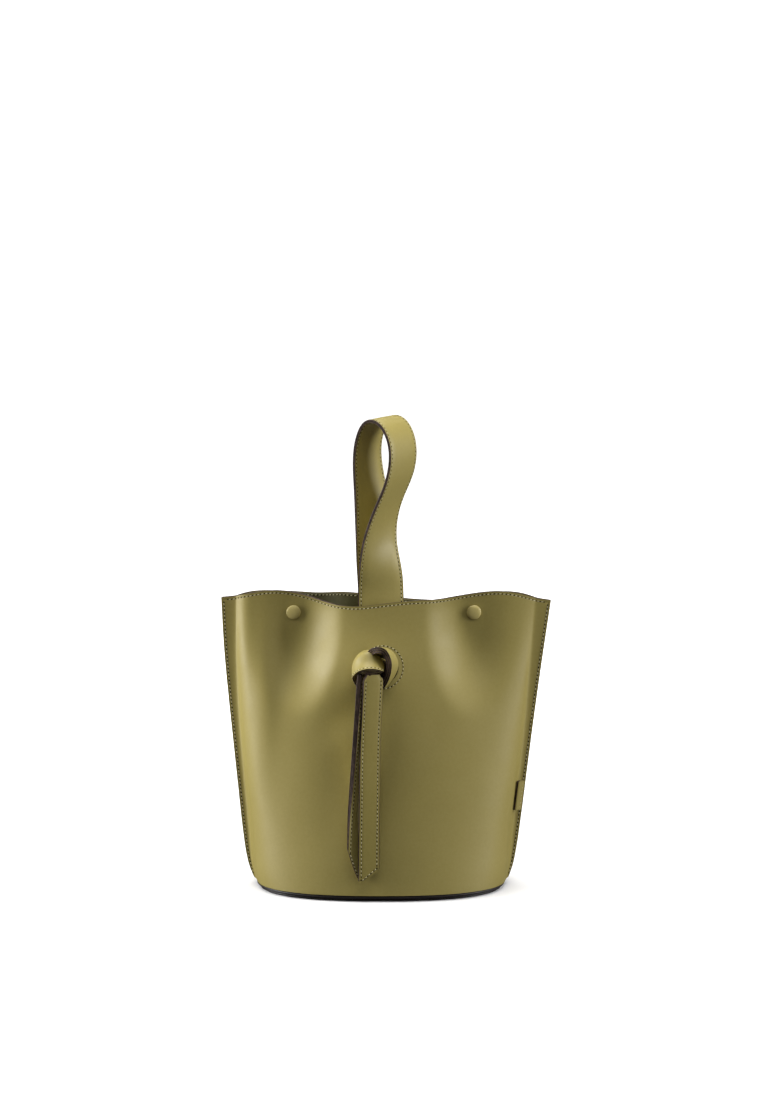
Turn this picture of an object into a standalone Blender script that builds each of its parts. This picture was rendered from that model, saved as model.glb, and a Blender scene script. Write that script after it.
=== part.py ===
"""Bucket bag in olive leather with an upright loop handle and a knotted front tie.

Frame: the origin is the middle of the base's flat underside, +Z is up, the front faces -Y.
Lengths and places below are in millimetres; the meshes are made in metres.
"""

import math

import bmesh
import bpy
from mathutils import Matrix, Vector

MM = 0.001

# ---------------------------------------------------------------- driving dimensions
GAP = 0.3                 # clearance kept between touching pieces
PANEL_THICK = 2.0
FACING_THICK = 1.0
LINING_THICK = 0.8

BASE_HALF_LENGTH = 105.5  # inside of the panels at the base
BASE_HALF_DEPTH = 68.5
BASE_ROUNDNESS = 2.5      # exponent of the base's superellipse
BASE_LEATHER_THICK = 2.2
BOARD_THICK = 2.0
# How far each base layer lies inside the panels' inner face; the sole reaches out under the panels
SOLE_INSET = -2.0
BOARD_INSET = 1.2
BASE_LINING_INSET = 2.2
WELT_RADIUS = 1.05
WELT_OUTSET = 1.1
PANEL_BOTTOM = 5.0        # height of the panels' lower edge

# Side seam: height and distance of the flange's outer edge from the middle plane
LEFT_SEAM = ((5, 109.0), (14, 114.0), (30, 117.4), (72, 121.1), (151, 129.2), (203, 134.0), (250, 136.0))
RIGHT_SEAM = ((5, 109.5), (14, 113.8), (30, 116.8), (88, 123.8), (164, 132.9), (219, 140.7), (248, 144.8))
# Height and width of the flange between the seam's edge and the root where the panels part
FLANGE = ((5, 3.5), (30, 9.5), (120, 8.0), (250, 7.0))

# Columns of the panels' control net, from the flange root (1) to the middle (0)
HALF_COLUMNS = (1.0, 0.985, 0.94, 0.86, 0.74, 0.58, 0.40, 0.20)
ROWS = (0.0, 0.05, 0.16, 0.35, 0.58, 0.80, 0.92, 1.0)
# The rim at each column, left edge to right edge: depth from the seam plane, then height
FRONT_RIM_Y = (0, -0.5, -1.5, -6, -12, -10, -1, -20, -38, -29, -20, -14, -1, -10, -12, -6, -1.5, -0.5, 0)
FRONT_RIM_Z = (249.4, 250.4, 251, 252.8, 255.4, 257.6, 253.6, 248.4, 246.2, 248.5,
               250, 249.4, 251.8, 256.4, 254.8, 251.4, 249.4, 248.6, 246.8)
BACK_RIM_Y = (0, 0.5, 1.5, 5, 10, 9, 1, 12, 24, 18, 12, 9, 1, 8, 10, 5, 1.5, 0.5, 0)
BACK_RIM_Z = (249.4, 250.4, 251, 252.2, 253.6, 254.4, 253.4, 252, 249.4, 247.2,
              245.2, 244.6, 249.6, 253.6, 252.6, 250.8, 249.4, 248.6, 246.8)
STRAIGHTENING = 0.2       # share of the height over which the panels turn upright below the rim
BELLY = 2.5               # how far the panels swell between base and rim

FACING_FIRST_ROW = 6.0    # rows of the control net: the facing covers the top, the lining the rest
FACING_LAST_ROW = 6.97
LINING_LAST_ROW = 5.5
EDGE_COLUMNS = 2.5        # columns next to each seam without lining or facing
FINE_COLUMNS = (5.75, 6.25, 11.75, 12.25)
FINE_ROWS = (5.5, 6.25, 6.5, 6.75)
LAYER_GAP = 0.45          # from a panel's inside to its lining or facing

# Tie hole in the front panel
HOLE_X = 0.8
HOLE_Z = 195.0
HOLE_RADIUS = 14.0
HOLE_CUT_Y = -34.0        # middle of the cut through panel and lining
HOLE_CUT_DEPTH = 24.0
PATCH_RADIUS = 20.0
PATCH_THICK = 1.0
PATCH_CLEARANCE = 1.4
DIMPLE_DEPTH = 3.0        # the knot pulls the panel in around the hole
DIMPLE_RADIUS = 20.0

# Press studs
SNAP_X = {"left": -74.5, "right": 79.0}
SNAP_Z = 237.5
SNAP_DEPTH = 4.6          # from the seam plane to the inside of each panel at the studs
SNAP_FLAT = 7.5           # radius over which a closed stud presses the leather flat
SNAP_FADE = 20.0
SNAP_LIFT = 0.6           # room between a cap and the leather's curve
SNAP_CAP_RADIUS = 6.1
POST_RADIUS = 1.5
SOCKET_RADIUS = 4.6

# Strap
STRAP_WIDTH = 38.5
LAYER_THICK = 1.15
TAIL_WIDTH = 17.6
HANDLE_AXIS = Vector((0.0, -10.0, 262.0))

# Handle centre line from the near arm over the top to the far arm: x, y, z, turn in degrees
HANDLE_PATH = (
    (0.0, -12.5, 266.0, 12), (-1.0, -12.2, 280.0, 27), (-1.7, -11.8, 295.0, 41), (0.6, -12.0, 313.0, 52),
    (5.9, -13.0, 331.0, 57), (12.4, -15.0, 346.0, 57), (16.7, -16.5, 358.5, 55), (18.6, -17.5, 371.0, 55),
    (18.2, -17.2, 382.0, 55), (15.6, -15.2, 392.0, 55), (10.4, -11.5, 400.8, 55), (2.6, -6.0, 404.6, 55),
    (-4.6, -1.0, 401.0, 55), (-9.0, 2.0, 391.0, 55), (-11.4, 3.8, 380.0, 55), (-11.9, 4.2, 368.0, 54),
    (-10.9, 4.0, 356.0, 51), (-8.6, 2.2, 338.0, 46), (-6.4, 0.0, 319.0, 38), (-3.9, -3.0, 297.0, 28),
    (-2.6, -5.6, 281.0, 19), (-1.0, -7.5, 266.0, 12),
)
FRONT_RUN_PATH = ((0.0, -13.0, 258.0, 4), (0.4, -18.5, 238.0, 0), (0.8, -21.5, 222.0, 0), (0.8, -22.5, 212.0, 0))
REAR_RUN_PATH = ((0.0, -6.5, 258.0, 4), (0.0, 2.0, 238.0, 0), (0.0, 10.5, 216.0, 0), (0.0, 16.5, 199.0, 0),
                 (0.0, 21.0, 182.0, 0))
FRONT_TAIL_PATH = ((-7.0, -54.0, 184.0, 12), (-8.0, -58.5, 150.0, 8), (-8.8, -63.0, 120.0, 4),
                   (-9.8, -69.5, 76.0, 0), (-10.2, -72.8, 48.0, 0), (-10.3, -75.8, 15.0, 0))
REAR_TAIL_PATH = ((-20.0, -49.5, 183.0, 45), (-20.4, -55.0, 150.0, 28), (-20.6, -59.5, 120.0, 14),
                  (-19.6, -65.0, 76.0, 4), (-19.2, -68.3, 48.0, 0), (-19.0, -71.2, 24.0, 0))
FRONT_TAIL_BEVEL = 15.0   # how much shorter the right edge ends than the left
REAR_TAIL_BEVEL = -16.0

# Knot
KNOT_CENTRE = Vector((-5.0, -48.0, 200.0))
KNOT_HALF_SIZE = Vector((19.0, 10.0, 14.0))
KNOT_NECK_RADIUS = 9.5
KNOT_NECK_END = -30.0

# Patch on the back lining that holds the strap's rear run
ANCHOR_HEIGHTS = (172.0, 182.0, 192.0, 202.0)
ANCHOR_HALF_COLUMNS = 1.0
ANCHOR_THICK = 1.0
ANCHOR_CLEARANCE = 0.5

# Folded tab on the right seam, between two distances from the seam's edge
TAB_RIGHT = -1.5
TAB_LEFT = -6.0
TAB_LOW = 66.0
TAB_HIGH = 91.0
TAB_THICK = 0.8
TAB_CLEARANCE = 1.8
TAB_FOLD_RADIUS = 0.9     # inside the fold
TAB_LIFT = 3.0            # how far the fold stands off the flange

OLIVE = (0.245, 0.205, 0.068)
OLIVE_LIGHT = (0.300, 0.260, 0.110)
OLIVE_DARK = (0.110, 0.092, 0.032)
EDGE_BROWN = (0.030, 0.018, 0.016)
LINING_CLOTH = (0.085, 0.075, 0.035)
BOARD_GREY = (0.18, 0.16, 0.13)
STEEL = (0.45, 0.43, 0.38)


# ---------------------------------------------------------------- scene and materials
def clear_scene():
    for obj in list(bpy.data.objects):
        bpy.data.objects.remove(obj, do_unlink=True)


def new_collection(name):
    collection = bpy.data.collections.new(name)
    bpy.context.scene.collection.children.link(collection)
    return collection


def material(name, colour, roughness, metallic=0.0):
    made = bpy.data.materials.new(name)
    made.use_nodes = True
    shader = made.node_tree.nodes["Principled BSDF"]
    shader.inputs["Base Color"].default_value = (*colour, 1.0)
    shader.inputs["Roughness"].default_value = roughness
    shader.inputs["Metallic"].default_value = metallic
    return made


def add_object(name, mesh, collection, colour, roughness=0.5, metallic=0.0):
    obj = bpy.data.objects.new(name, mesh)
    collection.objects.link(obj)
    mesh.materials.append(material(name, colour, roughness, metallic))
    return obj


# ---------------------------------------------------------------- panel surface
def interpolate(table, value):
    """Straight-line value of a table of (position, value) pairs."""
    if value <= table[0][0]:
        return table[0][1]
    for (low, at_low), (high, at_high) in zip(table, table[1:]):
        if value <= high:
            return at_low + (at_high - at_low) * (value - low) / (high - low)
    return table[-1][1]


def spline(points, position):
    """Point of a uniform cubic B-spline that starts and ends on its end points."""
    last = len(points) - 1
    index = min(int(position), last - 1)
    f = position - index
    padded = [2 * points[0] - points[1], *points, 2 * points[-1] - points[-2]]
    weights = ((1 - f) ** 3, 3 * f**3 - 6 * f**2 + 4, -3 * f**3 + 3 * f**2 + 3 * f + 1, f**3)
    total = padded[index] * weights[0]
    for step in (1, 2, 3):
        total = total + padded[index + step] * weights[step]
    return total / 6


def rise(k):
    """Share of the way from base shape to rim shape at height share k, upright near the rim."""
    full = 1 - STRAIGHTENING / 2
    if k <= 1 - STRAIGHTENING:
        return k / full
    return 1 - (1 - k) ** 2 / (2 * STRAIGHTENING * full)


def net_point(side, column, k, rim_y, rim_z):
    """Control point of a panel: side is -1 for the front and 1 for the back."""
    half = len(HALF_COLUMNS)
    offset = column - half - 1
    hand = (offset > 0) - (offset < 0)
    z = PANEL_BOTTOM + k * (rim_z[column] - PANEL_BOTTOM)
    seam = interpolate(RIGHT_SEAM if hand > 0 else LEFT_SEAM, z)
    root = seam - interpolate(FLANGE, z)
    if abs(offset) == half + 1:
        return Vector((hand * seam, 0.0, z))
    share = HALF_COLUMNS[half - abs(offset)] if offset else 0.0
    base_y = side * BASE_HALF_DEPTH * (1 - share**BASE_ROUNDNESS) ** (1 / BASE_ROUNDNESS)
    swell = side * BELLY * math.sin(math.pi * k) * (1 - share**4)
    y = base_y + (rim_y[column] - base_y) * rise(k) + swell
    return Vector((hand * share * root, y, z))


def control_net(side):
    rim_y = FRONT_RIM_Y if side < 0 else BACK_RIM_Y
    rim_z = FRONT_RIM_Z if side < 0 else BACK_RIM_Z
    return [[net_point(side, column, k, rim_y, rim_z) for column in range(len(rim_y))] for k in ROWS]


NETS = {-1: control_net(-1), 1: control_net(1)}
LAST_COLUMN = len(FRONT_RIM_Y) - 1
LAST_ROW = len(ROWS) - 1


def inner_point(side, column, row):
    """Point on the inside face of a panel."""
    point = spline([spline(line, column) for line in NETS[side]], row)
    point.y += side * GAP / 2
    if side < 0:
        distance = math.hypot(point.x - HOLE_X, point.z - HOLE_Z)
        point.y += DIMPLE_DEPTH * math.exp(-((distance / DIMPLE_RADIUS) ** 2) / 2)
    for snap_x in SNAP_X.values():
        distance = math.hypot(point.x - snap_x, point.z - SNAP_Z)
        fade = min(max((SNAP_FADE - distance) / (SNAP_FADE - SNAP_FLAT), 0), 1)
        point.y += (side * SNAP_DEPTH - point.y) * fade * fade * (3 - 2 * fade)
    return point


def outward_normal(side, column, row):
    step = 0.02
    low_c, high_c = max(column - step, 0), min(column + step, LAST_COLUMN)
    low_r, high_r = max(row - step, 0), min(row + step, LAST_ROW)
    across = inner_point(side, high_c, row) - inner_point(side, low_c, row)
    upward = inner_point(side, column, high_r) - inner_point(side, column, low_r)
    return (across.cross(upward) * -side).normalized()


def offset_point(side, column, row, distance):
    """Point at a distance outwards from the inside face of a panel."""
    return inner_point(side, column, row) + outward_normal(side, column, row) * distance


def row_at_height(side, column, z):
    low, high = 0.0, float(LAST_ROW)
    for _ in range(30):
        middle = (low + high) / 2
        if inner_point(side, column, middle).z < z:
            low = middle
        else:
            high = middle
    return low


# ---------------------------------------------------------------- mesh helpers
def steps(start, end, count):
    return [start + (end - start) * i / count for i in range(count + 1)]


def sheet_mesh(name, grid, flip):
    """Open surface through a grid of points, in rows from low to high."""
    mesh_maker = bmesh.new()
    rows = [[mesh_maker.verts.new(point * MM) for point in line] for line in grid]
    for lower, upper in zip(rows, rows[1:]):
        for i in range(len(lower) - 1):
            corners = [lower[i], lower[i + 1], upper[i + 1], upper[i]]
            mesh_maker.faces.new(corners[::-1] if flip else corners)
    mesh = bpy.data.meshes.new(name)
    mesh_maker.to_mesh(mesh)
    mesh_maker.free()
    mesh.shade_smooth()
    return mesh


def thicken(obj, thickness, outwards):
    fixed = obj.modifiers.new("Triangles", "TRIANGULATE")
    fixed.quad_method = "FIXED"
    shell = obj.modifiers.new("Thickness", "SOLIDIFY")
    shell.thickness = thickness * MM
    shell.offset = 1.0 if outwards else -1.0
    shell.use_even_offset = True


def turned(name, collection, profile, place, direction, colour, roughness=0.5, metallic=0.0):
    """Solid turned about its local Z; the profile runs from the top of the axis to the bottom."""
    mesh = bpy.data.meshes.new(name)
    points = [(radius * MM, 0.0, height * MM) for radius, height in profile]
    mesh.from_pydata(points, [(i, i + 1) for i in range(len(points) - 1)], [])
    obj = add_object(name, mesh, collection, colour, roughness, metallic)
    obj.location = place * MM
    obj.rotation_euler = direction.to_track_quat("Z", "Y").to_euler()
    screw = obj.modifiers.new("Turn", "SCREW")
    screw.steps = 16
    screw.render_steps = 16
    screw.use_merge_vertices = True
    screw.merge_threshold = 0.00001
    screw.use_smooth_shade = True
    return obj


def cylinder_cutter(name, collection, place, radius, depth):
    """Cutter whose axis runs along Y."""
    bpy.ops.mesh.primitive_cylinder_add(vertices=20, radius=radius * MM, depth=depth * MM)
    obj = bpy.context.object
    obj.name = name
    obj.location = place * MM
    obj.rotation_euler = (math.pi / 2, 0, 0)
    obj.hide_render = True
    obj.display_type = "WIRE"
    for owner in list(obj.users_collection):
        owner.objects.unlink(obj)
    collection.objects.link(obj)
    return obj


def cut(obj, cutter):
    hole = obj.modifiers.new("Cut " + cutter.name, "BOOLEAN")
    hole.operation = "DIFFERENCE"
    hole.object = cutter


# ---------------------------------------------------------------- panels, facings, linings
def grid_lines(last, per_step, fine, low, high):
    """Lines of the control net from low to high, some to each step, finer at the studs."""
    lines = {low, high, *fine, *steps(0, last, per_step * last)}
    return sorted(line for line in lines if low <= line <= high)


def panel(name, side, collection):
    """Leather panel from flange edge to flange edge."""
    columns = grid_lines(LAST_COLUMN, 2, FINE_COLUMNS, 0, LAST_COLUMN)
    rows = grid_lines(LAST_ROW, 1, FINE_ROWS, 0, LAST_ROW)
    grid = [[inner_point(side, column, row) for column in columns] for row in rows]
    obj = add_object(name, sheet_mesh(name, grid, side > 0), collection, OLIVE, 0.42)
    thicken(obj, PANEL_THICK, outwards=True)
    return obj


def inside_layer(name, side, collection, first_row, last_row, thickness, colour, roughness):
    """Layer behind a panel, on some of the panel's rows, clear of the seams."""
    columns = grid_lines(LAST_COLUMN, 2, FINE_COLUMNS, EDGE_COLUMNS, LAST_COLUMN - EDGE_COLUMNS)
    rows = grid_lines(LAST_ROW, 1, FINE_ROWS, first_row, last_row)
    grid = [[offset_point(side, column, row, -LAYER_GAP) for column in columns] for row in rows]
    obj = add_object(name, sheet_mesh(name, grid, side > 0), collection, colour, roughness)
    thicken(obj, thickness, outwards=False)
    return obj


# ---------------------------------------------------------------- base
def superellipse(half_length, half_depth, count=48):
    points = []
    for i in range(count):
        angle = 2 * math.pi * i / count
        cosine, sine = math.cos(angle), math.sin(angle)
        x = half_length * math.copysign(abs(cosine) ** (2 / BASE_ROUNDNESS), cosine)
        y = half_depth * math.copysign(abs(sine) ** (2 / BASE_ROUNDNESS), sine)
        points.append((x, y))
    return points


def base_plate(name, collection, inset, bottom, thickness, colour, roughness):
    """Flat superellipse plate, inset from the panels' inside face."""
    outline = superellipse(BASE_HALF_LENGTH - inset, BASE_HALF_DEPTH - inset)
    mesh_maker = bmesh.new()
    face = mesh_maker.faces.new([mesh_maker.verts.new((x * MM, y * MM, bottom * MM)) for x, y in outline])
    face.normal_update()
    if face.normal.z < 0:
        face.normal_flip()
    mesh = bpy.data.meshes.new(name)
    mesh_maker.to_mesh(mesh)
    mesh_maker.free()
    obj = add_object(name, mesh, collection, colour, roughness)
    thicken(obj, thickness, outwards=True)
    return obj


def base_welt(collection):
    """Round welt along the seam between the panels and the base."""
    outline = superellipse(BASE_HALF_LENGTH + WELT_OUTSET, BASE_HALF_DEPTH + WELT_OUTSET)
    height = BASE_LEATHER_THICK + GAP + WELT_RADIUS
    curve = bpy.data.curves.new("base_welt", "CURVE")
    curve.dimensions = "3D"
    curve.bevel_depth = WELT_RADIUS * MM
    curve.bevel_resolution = 1
    loop = curve.splines.new("POLY")
    loop.points.add(len(outline) - 1)
    loop.use_cyclic_u = True
    for target, (x, y) in zip(loop.points, outline):
        target.co = (x * MM, y * MM, height * MM, 1.0)
    return add_object("base_welt", curve, collection, EDGE_BROWN, 0.5)


# ---------------------------------------------------------------- straps
def strap_frames(path, count):
    """Evenly numbered points along a strap: centre, width direction and face normal."""
    centres = [Vector(point[:3]) for point in path]
    turns = [Vector((math.cos(math.radians(p[3])), math.sin(math.radians(p[3])), 0.0)) for p in path]
    frames = []
    for position in steps(0, len(path) - 1, count):
        ahead = spline(centres, min(position + 0.05, len(path) - 1))
        behind = spline(centres, max(position - 0.05, 0))
        along = (ahead - behind).normalized()
        normal = along.cross(spline(turns, position)).normalized()
        frames.append((spline(centres, position), normal.cross(along), normal))
    return frames


def strap_layer(name, collection, path, width, outer, count, colour, bevel=0.0, columns=2):
    """One leather layer of a strap. The outer layer lies on the side against the normal.

    bevel slants the lower end: it rises by that much from left to right, or right to left if negative.
    """
    frames = strap_frames(path, count)
    offset = -GAP / 2 if outer else GAP / 2
    grid = []
    for index, (centre, across, normal) in enumerate(frames):
        line = []
        for share in steps(-0.5, 0.5, columns):
            point = centre + across * width * share + normal * offset
            point.z += (abs(bevel) / 2 + bevel * share) * index / count
            line.append(point)
        grid.append(line)
    obj = add_object(name, sheet_mesh(name, grid, False), collection, colour, 0.45)
    thicken(obj, LAYER_THICK, outwards=outer)
    return obj


def both_layers(prefix, collection, path, width, count, bevel=0.0):
    outer = strap_layer(prefix + "_outer", collection, path, width, True, count, OLIVE, bevel)
    inner = strap_layer(prefix + "_inner", collection, path, width, False, count, OLIVE, bevel)
    return outer, inner


def set_origin(obj, place):
    """Puts an object's origin on a joint axis without moving its mesh in the world."""
    obj.data.transform(Matrix.Translation(-place * MM))
    obj.location = place * MM


# ---------------------------------------------------------------- knot, hole and patches
def tie_knot(collection, cutters):
    """Knot head in front of the panel with a neck that fills the hole."""
    bpy.ops.mesh.primitive_uv_sphere_add(segments=20, ring_count=10, radius=1.0)
    head = bpy.context.object
    head.name = "tie_knot"
    for vertex in head.data.vertices:
        vertex.co = Vector(vertex.co[i] * KNOT_HALF_SIZE[i] * MM for i in range(3))
    head.data.shade_smooth()
    head.location = KNOT_CENTRE * MM
    head.data.materials.append(material("tie_knot", OLIVE_LIGHT, 0.45))
    for owner in list(head.users_collection):
        owner.objects.unlink(head)
    collection.objects.link(head)
    middle = (KNOT_NECK_END + KNOT_CENTRE.y) / 2
    neck = cylinder_cutter("knot_neck", cutters, Vector((HOLE_X, middle, HOLE_Z)), KNOT_NECK_RADIUS,
                           KNOT_NECK_END - KNOT_CENTRE.y)
    joined = head.modifiers.new("Neck", "BOOLEAN")
    joined.operation = "UNION"
    joined.object = neck
    return head


def surface_frame(side, column, z):
    row = row_at_height(side, column, z)
    return inner_point(side, column, row), outward_normal(side, column, row)


def hole_patch(collection):
    """Reinforcing washer behind the lining around the tie hole."""
    point, normal = surface_frame(-1, LAST_COLUMN / 2, HOLE_Z)
    place = Vector((HOLE_X, point.y, HOLE_Z)) - normal * (GAP + LINING_THICK + PATCH_CLEARANCE)
    mesh = bpy.data.meshes.new("hole_patch")
    ring = [(HOLE_RADIUS, 0.0), (PATCH_RADIUS, 0.0), (PATCH_RADIUS, -PATCH_THICK), (HOLE_RADIUS, -PATCH_THICK)]
    mesh.from_pydata([(r * MM, 0.0, h * MM) for r, h in ring], [(0, 1), (1, 2), (2, 3), (3, 0)], [])
    obj = add_object("hole_patch", mesh, collection, OLIVE_DARK, 0.55)
    obj.location = place * MM
    obj.rotation_euler = normal.to_track_quat("Z", "Y").to_euler()
    screw = obj.modifiers.new("Turn", "SCREW")
    screw.steps = 24
    screw.render_steps = 24
    screw.use_merge_vertices = True
    screw.merge_threshold = 0.00001
    return obj


def anchor_patch(collection):
    """Leather patch on the back lining that the strap's rear run is sewn to."""
    columns = steps(LAST_COLUMN / 2 - ANCHOR_HALF_COLUMNS, LAST_COLUMN / 2 + ANCHOR_HALF_COLUMNS, 4)
    inset = -(GAP + LINING_THICK + ANCHOR_CLEARANCE)
    grid = []
    for z in ANCHOR_HEIGHTS:
        rows = [row_at_height(1, column, z) for column in columns]
        grid.append([offset_point(1, column, row, inset) for column, row in zip(columns, rows)])
    obj = add_object("strap_anchor_patch", sheet_mesh("strap_anchor_patch", grid, True), collection,
                     OLIVE_DARK, 0.5)
    thicken(obj, ANCHOR_THICK, outwards=False)
    return obj


# ---------------------------------------------------------------- press studs
def snap(hand, collection):
    """Covered cap and socket on the front, stud and covered cap on the back, all on one axis."""
    toward_front = Vector((0, -1, 0))
    layers = LAYER_GAP + FACING_THICK + GAP + SNAP_LIFT
    post_length = PANEL_THICK + SNAP_LIFT + GAP + FACING_THICK
    cap = [(0, 2.6), (2.2, 2.45), (4.2, 1.9), (5.5, 1.1), (SNAP_CAP_RADIUS, 0.3), (SNAP_CAP_RADIUS, 0),
           (POST_RADIUS, 0), (POST_RADIUS, -post_length), (0, -post_length)]
    outside = SNAP_DEPTH + PANEL_THICK + SNAP_LIFT
    front_place = Vector((SNAP_X[hand], -outside, SNAP_Z))
    back_place = Vector((SNAP_X[hand], outside, SNAP_Z))
    turned("snap_cap_" + hand, collection, cap, front_place, toward_front, OLIVE_LIGHT)
    turned("snap_rear_cap_" + hand, collection, cap, back_place, -toward_front, OLIVE_LIGHT)

    bore, bore_depth, socket_height = 2.2, 1.5, 2.2
    socket = [(0, socket_height - bore_depth), (bore, socket_height - bore_depth), (bore, socket_height),
              (SOCKET_RADIUS, socket_height), (SOCKET_RADIUS, 0), (0, 0)]
    inside = SNAP_DEPTH - layers
    turned("snap_socket_" + hand, collection, socket, Vector((SNAP_X[hand], -inside, SNAP_Z)),
           -toward_front, STEEL, 0.35, 1.0)
    flange = 0.8
    stud_height = 2 * inside - socket_height + bore_depth - GAP
    stud = [(0, stud_height), (1.2, stud_height), (1.8, stud_height - 0.5), (1.5, flange),
            (SOCKET_RADIUS, flange), (SOCKET_RADIUS, 0), (0, 0)]
    turned("snap_stud_" + hand, collection, stud, Vector((SNAP_X[hand], inside, SNAP_Z)),
           toward_front, STEEL, 0.35, 1.0)


def snap_hole(hand, side, cutters):
    depth = 9.0
    radius = POST_RADIUS + 0.7
    name = "snap_hole_" + hand + ("_front" if side < 0 else "_back")
    return cylinder_cutter(name, cutters, Vector((SNAP_X[hand], side * SNAP_DEPTH, SNAP_Z)), radius, depth)


# ---------------------------------------------------------------- side tab
def side_tab(collection):
    """Leather tab folded double, its ends sewn to the right flange and its fold lifted."""
    radius = TAB_FOLD_RADIUS
    back_y = -(GAP / 2 + PANEL_THICK + GAP + TAB_THICK + TAB_CLEARANCE)
    lifted_y = back_y - TAB_LIFT
    section = [(TAB_RIGHT, back_y), (TAB_LEFT, lifted_y)]
    for angle in steps(90, 270, 6)[1:]:
        turn = math.radians(angle)
        section.append((TAB_LEFT + radius * math.cos(turn), lifted_y - radius + radius * math.sin(turn)))
    section.append((TAB_RIGHT, back_y - 2 * radius))
    heights = steps(TAB_LOW, TAB_HIGH, 4)
    grid = [[Vector((interpolate(RIGHT_SEAM, z) + x, y, z)) for x, y in section] for z in heights]
    obj = add_object("side_tab", sheet_mesh("side_tab", grid, False), collection, OLIVE_LIGHT, 0.45)
    thicken(obj, TAB_THICK, outwards=True)
    return obj


# ---------------------------------------------------------------- assembly
def build():
    clear_scene()
    bag = new_collection("bucket_bag")
    cutters = new_collection("cutters")

    front_panel = panel("front_panel", -1, bag)
    back_panel = panel("back_panel", 1, bag)
    facing = (FACING_FIRST_ROW, FACING_LAST_ROW, FACING_THICK, OLIVE_DARK, 0.5)
    lining = (0, LINING_LAST_ROW, LINING_THICK, LINING_CLOTH, 0.9)
    front_facing = inside_layer("front_facing", -1, bag, *facing)
    back_facing = inside_layer("back_facing", 1, bag, *facing)
    front_lining = inside_layer("front_lining", -1, bag, *lining)
    inside_layer("back_lining", 1, bag, *lining)

    for hand in SNAP_X:
        snap(hand, bag)
        front_hole = snap_hole(hand, -1, cutters)
        back_hole = snap_hole(hand, 1, cutters)
        cut(front_panel, front_hole)
        cut(front_facing, front_hole)
        cut(back_panel, back_hole)
        cut(back_facing, back_hole)

    hole_place = Vector((HOLE_X, HOLE_CUT_Y, HOLE_Z))
    tie_hole = cylinder_cutter("tie_hole", cutters, hole_place, HOLE_RADIUS, HOLE_CUT_DEPTH)
    cut(front_panel, tie_hole)
    cut(front_lining, tie_hole)
    hole_patch(bag)
    anchor_patch(bag)

    board_bottom = BASE_LEATHER_THICK + GAP
    lining_bottom = board_bottom + BOARD_THICK + GAP
    base_plate("base_leather", bag, SOLE_INSET, 0.0, BASE_LEATHER_THICK, EDGE_BROWN, 0.55)
    base_plate("base_board", bag, BOARD_INSET, board_bottom, BOARD_THICK, BOARD_GREY, 0.8)
    base_plate("base_lining", bag, BASE_LINING_INSET, lining_bottom, LINING_THICK, LINING_CLOTH, 0.9)
    base_welt(bag)

    handle = both_layers("handle", bag, HANDLE_PATH, STRAP_WIDTH, 44)
    both_layers("strap_front_run", bag, FRONT_RUN_PATH, STRAP_WIDTH, 5)
    both_layers("strap_rear_run", bag, REAR_RUN_PATH, STRAP_WIDTH, 8)
    tie_knot(bag, cutters)
    front_tail = both_layers("tail_front", bag, FRONT_TAIL_PATH, TAIL_WIDTH, 10, FRONT_TAIL_BEVEL)
    rear_tail = both_layers("tail_rear", bag, REAR_TAIL_PATH, TAIL_WIDTH, 10, REAR_TAIL_BEVEL)
    side_tab(bag)

    for layer in handle:
        set_origin(layer, HANDLE_AXIS)
    for layer in front_tail:
        set_origin(layer, Vector(FRONT_TAIL_PATH[0][:3]))
    for layer in rear_tail:
        set_origin(layer, Vector(REAR_TAIL_PATH[0][:3]))


build()
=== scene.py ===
"""Looks of the olive leather bucket bag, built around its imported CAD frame.

Lengths in this script are millimetres; meshes and lights are made in metres.
"""

import math

import bmesh
import bpy
import numpy as np
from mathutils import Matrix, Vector


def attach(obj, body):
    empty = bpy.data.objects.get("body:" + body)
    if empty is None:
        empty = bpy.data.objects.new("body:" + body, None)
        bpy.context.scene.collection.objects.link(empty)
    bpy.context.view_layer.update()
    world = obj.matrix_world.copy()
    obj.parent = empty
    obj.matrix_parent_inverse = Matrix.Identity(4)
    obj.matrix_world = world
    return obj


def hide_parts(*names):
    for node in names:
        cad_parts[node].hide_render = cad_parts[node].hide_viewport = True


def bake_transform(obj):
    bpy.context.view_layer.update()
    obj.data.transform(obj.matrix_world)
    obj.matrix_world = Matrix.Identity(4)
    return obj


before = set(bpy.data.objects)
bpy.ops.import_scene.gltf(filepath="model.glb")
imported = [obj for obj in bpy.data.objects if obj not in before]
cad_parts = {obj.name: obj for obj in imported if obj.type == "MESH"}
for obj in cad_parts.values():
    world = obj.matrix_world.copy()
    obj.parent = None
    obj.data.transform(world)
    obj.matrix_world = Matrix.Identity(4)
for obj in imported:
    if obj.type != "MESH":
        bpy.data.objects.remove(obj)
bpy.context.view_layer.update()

MM = 0.001
SIDES = {-1: "front", 1: "back"}

# ---------------- dimensions shared with the CAD
# Leather thicknesses, the base oval, and the seams and rims of the two panels
GAP = 0.3
PANEL_THICK = 2.0
FACING_THICK = 1.0
LINING_THICK = 0.8
LAYER_GAP = 0.45
BASE_HALF_LENGTH = 105.5
BASE_HALF_DEPTH = 68.5
BASE_ROUNDNESS = 2.5
BASE_LEATHER_THICK = 2.2
WELT_RADIUS = 1.05
PANEL_BOTTOM = 5.0

# Height and half width of the panels at each side seam, and height and width of the flange there
LEFT_SEAM = ((5, 109), (14, 114), (30, 117.4), (72, 121.1), (151, 129.2), (203, 134), (250, 136))
RIGHT_SEAM = ((5, 109.5), (14, 113.8), (30, 116.8), (88, 123.8), (164, 132.9), (219, 140.7), (248, 144.8))
FLANGE = ((5, 3.5), (30, 9.5), (120, 8.5), (190, 11), (250, 13))

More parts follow.
